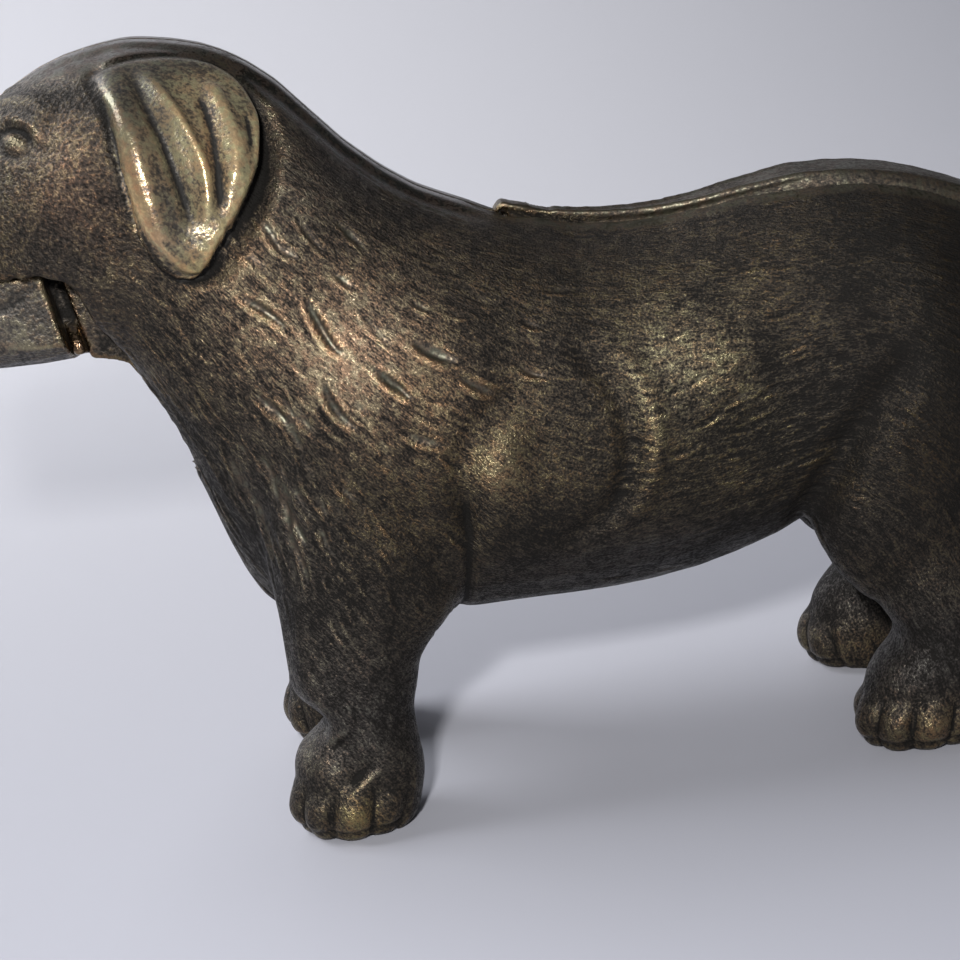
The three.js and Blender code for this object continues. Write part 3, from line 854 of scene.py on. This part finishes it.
COARSE_PATCHES = (
    # X, Z, radii and how coarse the skin is there
    (76, 76, 22, 26, 1),
    (40, 98, 14, 14, 0.9),
    (118, 38, 26, 6, 0.25),
    (70, 12, 14, 12, 0.4),
    (158, 12, 14, 12, 0.4),
    (18, 84, 16, 7, 0.12),
    (38, 81, 4, 5, 0.2),
)


def on_nape(dog):
    """The smooth top of the head and the band behind it, down to the bar."""
    x, y, z = dog.T
    crown = ramp(24, 36, x) * ramp(117.5, 120, z)
    band = ramp(60, 66, x) * ramp(SLOT_START, 94, x)
    band *= ramp(11, 7, y) * ramp(84, 88, z)
    return np.maximum(crown, band)


def ear_depth(dog):
    """How far inside the ear's outline each point of the outer skin is; far outside elsewhere."""
    depth = np.full(len(dog), -99.0)
    near = near_ear(dog) & (dog[:, 1] > 6)
    depth[near] = inside_ear(dog[near])
    return depth


def on_ear(dog):
    return ramp(-0.4, 0.5, ear_depth(dog))


def tones(dog):
    """The rubbed metal's colour at each point, and how far the patina is rubbed away."""
    colour = np.tile(np.array(BRONZE), (len(dog), 1))
    rubbed = np.full(len(dog), BASE_RUB)
    for x, z, reach_x, reach_z, patch, amount, strength in TONE_PATCHES:
        weight = swell(dog, x, z, reach_x, reach_z, strength)
        colour += weight[:, None] * (np.array(patch) - colour)
        rubbed += weight * (amount - rubbed)
    whole_ear = on_ear(dog)
    under_edge = bell(ear_depth(dog) + 1.2, 0.8) * ramp(120, 112, dog[:, 2])
    layers = [(under_edge, SHADOW_TONE, 0.0), (whole_ear, EAR_TONE, EAR_RUB), (on_nape(dog), NAPE_TONE, 1.0)]
    for x, z, reach_x, reach_z, patch, amount, strength in EAR_PATCHES:
        layers.append((whole_ear * swell(dog, x, z, reach_x, reach_z, strength), patch, amount))
    for share, patch, amount in layers:
        colour += 0.9 * share[:, None] * (np.array(patch) - colour)
        rubbed += 0.9 * share * (amount - rubbed)
    return colour, rubbed


def coarseness(dog):
    """Hammered on the neck and cheek, smooth on top of the head and on the ears."""
    coarse = np.full(len(dog), 0.6)
    for x, z, reach_x, reach_z, target in COARSE_PATCHES:
        coarse += swell(dog, x, z, reach_x, reach_z) * (target - coarse)
    return coarse * (1 - 0.75 * on_ear(dog)) * (1 - 0.85 * on_nape(dog))


FINE_DEPTH = 0.05  # the depth of a fine and of a broad hollow, in millimetres
BROAD_DEPTH = 0.22


def on_jaw(dog):
    return ramp(34, 32, dog[:, 0]) * ramp(92.5, 91.5, dog[:, 2])


def furriness(dog):
    """How far the grain is drawn out into hair: not at all on the head, the ears and the jaw."""
    behind_cheek = ramp(44, 54, behind_face(dog))
    return behind_cheek * (1 - on_ear(dog)) * (1 - on_nape(dog))


def add_layer(mesh, name, kind, *columns):
    """Values over the mesh's points, for the material to read."""
    layer = mesh.attributes.new(name, kind, "POINT")
    field = "color" if kind == "FLOAT_COLOR" else "vector"
    layer.data.foreach_set(field, np.column_stack(columns).ravel())


def make_piece(skin, name, body, material):
    points = (skin.shell.points + (NOSE_X, 0, 0)) * MM
    mesh = new_mesh(name, points.tolist(), skin.shell.quads.tolist())
    colour, rubbed = tones(skin.dog)
    colour += skin.bed[:, None] * (np.array(BED_TONE) - colour)
    rubbed += skin.bed * (BED_RUB - rubbed)
    furry = furriness(skin.dog) * (1 - skin.bed)
    dull = np.maximum(on_ear(skin.dog), 0.8 * on_jaw(skin.dog))
    fine = skin.hollow(2) / FINE_DEPTH * (1 - skin.bed)
    broad = skin.hollow(10) / BROAD_DEPTH * (1 - skin.bed)
    coarse = coarseness(skin.dog) * (1 - 0.9 * skin.bed)
    add_layer(mesh, "tone", "FLOAT_COLOR", colour, rubbed)
    add_layer(mesh, "finish", "FLOAT_VECTOR", furry, dull, skin.bed)
    add_layer(mesh, "flow", "FLOAT_VECTOR", flow_at(skin.dog))
    add_layer(mesh, "relief", "FLOAT_VECTOR", *np.clip([fine, broad, coarse], -1.5, 1.5))
    mesh.materials.append(material)
    piece = add_object(name, mesh)
    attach(piece, body)
    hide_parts(skin.node)


# ---------- materials
class Nodes:
    """Short calls for building one material's node tree."""

    def __init__(self, name):
        self.material = bpy.data.materials.new(name)
        self.material.use_nodes = True
        self.tree = self.material.node_tree
        self.shader = self.tree.nodes["Principled BSDF"]

    def put(self, socket, value):
        if isinstance(value, bpy.types.NodeSocket):
            self.tree.links.new(value, socket)
        else:
            socket.default_value = value

    def shade(self, name, value):
        self.put(self.shader.inputs[name], value)

    def attribute(self, name):
        node = self.tree.nodes.new("ShaderNodeAttribute")
        node.attribute_name = name
        return node

    def split(self, vector):
        node = self.tree.nodes.new("ShaderNodeSeparateXYZ")
        self.put(node.inputs[0], vector)
        return node.outputs

    def scaled(self, vector, factors):
        node = self.tree.nodes.new("ShaderNodeVectorMath")
        node.operation = "MULTIPLY"
        self.put(node.inputs[0], vector)
        node.inputs[1].default_value = factors
        return node.outputs[0]

    def math(self, kind, a, b, clamp=False):
        node = self.tree.nodes.new("ShaderNodeMath")
        node.operation = kind
        node.use_clamp = clamp
        self.put(node.inputs[0], a)
        self.put(node.inputs[1], b)
        return node.outputs[0]

    def times(self, a, b):
        return self.math("MULTIPLY", a, b)

    def total(self, *terms):
        """The sum of values, each given with its factor."""
        out = None
        for value, factor in terms:
            term = value if factor == 1 else self.times(value, factor)
            out = term if out is None else self.math("ADD", out, term)
        return out

    def noise(self, vector, scale, detail, roughness):
        node = self.tree.nodes.new("ShaderNodeTexNoise")
        self.put(node.inputs["Vector"], vector)
        node.inputs["Scale"].default_value = scale
        node.inputs["Detail"].default_value = detail
        node.inputs["Roughness"].default_value = roughness
        return node.outputs["Fac"]

    def spread(self, value, low, high, to_low=0.0, to_high=1.0):
        node = self.tree.nodes.new("ShaderNodeMapRange")
        node.interpolation_type = "SMOOTHSTEP"
        self.put(node.inputs["Value"], value)
        for name, number in (("From Min", low), ("From Max", high), ("To Min", to_low), ("To Max", to_high)):
            self.put(node.inputs[name], number)
        return node.outputs["Result"]

    def mix(self, factor, a, b, blend="MIX"):
        node = self.tree.nodes.new("ShaderNodeMix")
        node.data_type = "RGBA"
        node.blend_type = blend
        self.put(node.inputs["Factor"], factor)
        for socket, value in ((node.inputs[6], a), (node.inputs[7], b)):
            self.put(socket, (*value, 1) if isinstance(value, tuple) else value)
        return node.outputs[2]

    def bump(self, height, strength, distance, under=None):
        node = self.tree.nodes.new("ShaderNodeBump")
        self.put(node.inputs["Height"], height)
        self.put(node.inputs["Strength"], strength)
        node.inputs["Distance"].default_value = distance
        if under is not None:
            self.put(node.inputs["Normal"], under)
        return node.outputs["Normal"]

    def place(self):
        """Object coordinates in millimetres."""
        node = self.tree.nodes.new("ShaderNodeTexCoord")
        return self.scaled(node.outputs["Object"], (1 / MM,) * 3)


PATINA = (0.008, 0.0068, 0.0054)
PATINA_SHARE = (0.11, 0.1, 0.1)  # how much of the metal's colour shows through the patina
PIT = (0.007, 0.006, 0.005)
COPPER_TINT = (1.16, 0.93, 0.76)
BRASS_TINT = (1.0, 1.0, 0.84)
GLEAM = (1.5, 1.45, 1.35)
DUST = (0.2, 0.2, 0.19)


def bronzed_iron(name):
    """Bronze-washed iron: dark patina in the pits and strokes, rubbed to copper and brass on the crests."""
    nodes = Nodes(name)
    place = nodes.place()
    flow = nodes.attribute("flow").outputs["Vector"]
    furry, dull, bed = nodes.split(nodes.attribute("finish").outputs["Vector"])[:3]
    tone = nodes.attribute("tone")
    fine, broad, coarse = nodes.split(nodes.attribute("relief").outputs["Vector"])[:3]

    hair = nodes.noise(nodes.scaled(flow, (0.45, 2.0, 2.0)), 1.0, 3.0, 0.6)
    grain = nodes.noise(nodes.scaled(flow, (2.7, 3.5, 3.5)), 1.0, 3.0, 0.6)
    hammered = nodes.noise(place, 1.7, 3.0, 0.5)
    patches = nodes.noise(place, 0.09, 4.0, 0.62)
    flecks = nodes.noise(place, 0.55, 3.0, 0.6)
    speckle = nodes.noise(place, 2.4, 2.0, 0.6)

    # how high each spot stands, and so how much of the patina has been rubbed off it
    fur = nodes.total((grain, 0.64), (hair, 0.36))
    bare = nodes.math("ADD", nodes.total((hammered, 0.4), (grain, 0.3)), 0.15)
    skin = nodes.math("ADD", bare, nodes.times(nodes.math("SUBTRACT", fur, bare), furry))
    level = nodes.total(
        (skin, 1),
        (tone.outputs["Alpha"], 0.26),
        (nodes.spread(patches, 0.3, 0.7, -0.05, 0.05), 1),
        (nodes.spread(flecks, 0.3, 0.7, -0.04, 0.04), 1),
        (nodes.spread(fine, 0.0, -1.0, 0.0, 0.1), 1),
        (nodes.spread(broad, 0.1, -1.2, 0.0, 0.1), 1),
        (nodes.spread(fine, 0.1, 1.0, 0.0, -0.09), 1),
        (nodes.spread(broad, 0.25, 1.3, 0.0, -0.16), 1),
    )
    rub = nodes.spread(level, 0.6, 0.83)
    pit = nodes.spread(level, 0.62, 0.5)

    tint = nodes.mix(nodes.spread(flecks, 0.4, 0.6), COPPER_TINT, BRASS_TINT)
    metal = nodes.mix(1.0, tone.outputs["Color"], tint, "MULTIPLY")
    bright = nodes.mix(1.0, metal, GLEAM, "MULTIPLY")
    metal = nodes.mix(nodes.spread(level, 0.8, 0.95), metal, bright)
    film = nodes.mix(1.0, tone.outputs["Color"], PATINA_SHARE, "MULTIPLY")
    film = nodes.mix(1.0, film, PATINA, "ADD")
    dust = nodes.times(nodes.spread(speckle, 0.76, 0.82), 0.45)
    colour = nodes.mix(dust, nodes.mix(pit, nodes.mix(rub, film, metal), PIT), DUST)
    nodes.shade("Base Color", colour)

    faded = nodes.total((dust, 1), (dull, 0.5))
    shine = nodes.math("SUBTRACT", nodes.spread(rub, 0, 1, 0.6, 1.0), faded, clamp=True)
    nodes.shade("Metallic", shine)
    nodes.shade("Specular IOR Level", 0.35)
    rough = nodes.total((nodes.spread(rub, 0, 1, 0.46, 0.25), 1), (pit, 0.3), (bed, 0.18))
    nodes.shade("Roughness", rough)

    bare_skin = nodes.math("SUBTRACT", 1.0, furry)
    normal = nodes.bump(hammered, nodes.times(coarse, bare_skin), 0.7 * MM)
    grained = nodes.spread(furry, 0, 1, 0.35, 1.0)
    normal = nodes.bump(grain, nodes.times(coarse, grained), 0.45 * MM, normal)
    haired = nodes.times(coarse, furry)
    normal = nodes.bump(hair, nodes.times(haired, 0.8), 0.5 * MM, normal)
    nodes.shade("Normal", normal)
    return nodes.material


def turned_steel(name, colour):
    nodes = Nodes(name)
    scratches = nodes.noise(nodes.scaled(nodes.place(), (3.0, 0.4, 3.0)), 1.0, 4.0, 0.6)
    tarnish = nodes.noise(nodes.place(), 0.5, 4.0, 0.6)
    dark = tuple(0.35 * channel for channel in colour)
    nodes.shade("Base Color", nodes.mix(nodes.spread(tarnish, 0.4, 0.65), colour, dark))
    nodes.shade("Metallic", 0.95)
    nodes.shade("Roughness", nodes.spread(scratches, 0.3, 0.7, 0.32, 0.55))
    nodes.shade("Normal", nodes.bump(scratches, 0.25, 0.1 * MM))
    return nodes.material


form = dog_form()
iron = bronzed_iron("bronzed_iron")
lever_iron = bronzed_iron("lever_iron")
bar_half = bar_half_widths()
for half, side in (("left", -1), ("right", 1)):
    half_skin = body_half(f"body_{half}_half", side, form, bar_half)
    make_piece(half_skin, f"body_{half}_casting", "body", iron)
make_piece(lever_casting(bar_half), "lever_casting", "lever", lever_iron)

pin_steel = turned_steel("pin_steel", (0.42, 0.41, 0.4))
screw_steel = turned_steel("screw_steel", (0.3, 0.27, 0.23))
for node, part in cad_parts.items():
    if node == "pivot_pin" or node.startswith("body_screw"):
        part.data.materials.clear()
        part.data.materials.append(pin_steel if node == "pivot_pin" else screw_steel)

# ---------- studio: floor, backdrop, light and camera
CAMERA = {"azimuth": -4.0, "elevation": 17.5, "roll": 6.8, "lens": 85, "distance": 362.7}
TARGET = Vector((94 + NOSE_X, 0, 47.07)) * MM
LIGHTS = (
    # name, metres along the camera's right, up and back, then its side, watts and colour
    ("flash", (-0.05, 0.06, 0.42), 0.03, 2.4, (1, 0.99, 0.97)),
    ("left_softbox", (-1.0, 0.9, 0.08), 0.8, 21, (0.97, 0.98, 1)),
)
WORLD = {"colour": (0.78, 0.79, 0.86, 1), "strength": 0.1}
# The floor's colour is painted light and shade: dark near the camera, pale further back and up the backdrop,
# and darker to the right.
FLOOR_NEAR_PAINTED_SHADE = (0.31, 0.315, 0.36)
FLOOR_FAR_PAINTED_LIGHT = (0.62, 0.62, 0.66)
FLOOR_RIGHT_PAINTED_SHADE = (0.52, 0.53, 0.56)  # painted shade: how much darker it grows to the right
SWEEP = {"start": 0.3, "radius": 0.5, "half": 3.0, "steps": 24}  # in metres


def camera_axes():
    a = math.radians(CAMERA["azimuth"])
    e = math.radians(CAMERA["elevation"])
    roll = math.radians(CAMERA["roll"])
    back = Vector((math.sin(a) * math.cos(e), -math.cos(a) * math.cos(e), math.sin(e)))
    level = Vector((math.cos(a), math.sin(a), 0))
    up = back.cross(level)
    return math.cos(roll) * level - math.sin(roll) * up, math.sin(roll) * level + math.cos(roll) * up, back


def add_camera():
    data = bpy.data.cameras.new("camera")
    data.lens = CAMERA["lens"]
    data.sensor_width = 36
    data.clip_start = 0.01
    camera = add_object("camera", data)
    right, up, back = camera_axes()
    axes = Matrix((right, up, back)).transposed().to_4x4()
    camera.matrix_world = Matrix.Translation(TARGET + CAMERA["distance"] * MM * back) @ axes
    bpy.context.scene.camera = camera


def add_softbox(name, offset, size, watts, colour):
    """A square light that faces the dog."""
    data = bpy.data.lights.new(name, "AREA")
    data.size = size
    data.energy = watts
    data.color = colour
    light = add_object(name, data)
    away = Matrix(camera_axes()).transposed() @ Vector(offset)
    turn = away.to_track_quat("Z", "Y").to_matrix().to_4x4()
    light.matrix_world = Matrix.Translation(TARGET + away) @ turn


def add_sweep():
    """A pale floor that curves up into a backdrop behind the dog, with painted light and shade: darker near
    the camera and to the right, paler further back.
    """
    start, radius, half, steps = SWEEP.values()
    outline = [(-half, 0.0), (start, 0.0)]
    for i in range(1, steps + 1):
        turn = math.radians(90 * i / steps)
        outline.append((start + radius * math.sin(turn), radius * (1 - math.cos(turn))))
    outline.append((start + radius, half))
    points = [(x, y, z) for x in (-half, half) for y, z in outline]
    count = len(outline)
    faces = [(i, count + i, count + i + 1, i + 1) for i in range(count - 1)]
    mesh = new_mesh("sweep", points, faces)
    nodes = Nodes("sweep_painted_light_and_shade")
    place = nodes.split(nodes.tree.nodes.new("ShaderNodeTexCoord").outputs["Object"])
    # painted light and shade: the colour darkens towards the camera and towards the right
    near_painted_shade = nodes.mix(nodes.spread(place[1], -0.15, 0.4), FLOOR_NEAR_PAINTED_SHADE, FLOOR_FAR_PAINTED_LIGHT)
    shade = nodes.mix(nodes.spread(place[0], -0.1, 0.5), (1.0, 1.0, 1.0), FLOOR_RIGHT_PAINTED_SHADE)
    nodes.shade("Base Color", nodes.mix(1.0, near_painted_shade, shade, "MULTIPLY"))
    nodes.shade("Roughness", 0.55)
    mesh.materials.append(nodes.material)
    add_object("sweep", mesh)


def add_world():
    world = bpy.data.worlds.new("studio")
    world.use_nodes = True
    background = world.node_tree.nodes["Background"]
    background.inputs["Color"].default_value = WORLD["colour"]
    background.inputs["Strength"].default_value = WORLD["strength"]
    bpy.context.scene.world = world


add_sweep()
add_world()
add_camera()
for light in LIGHTS:
    add_softbox(*light)
bpy.context.scene.view_settings.view_transform = "Standard"
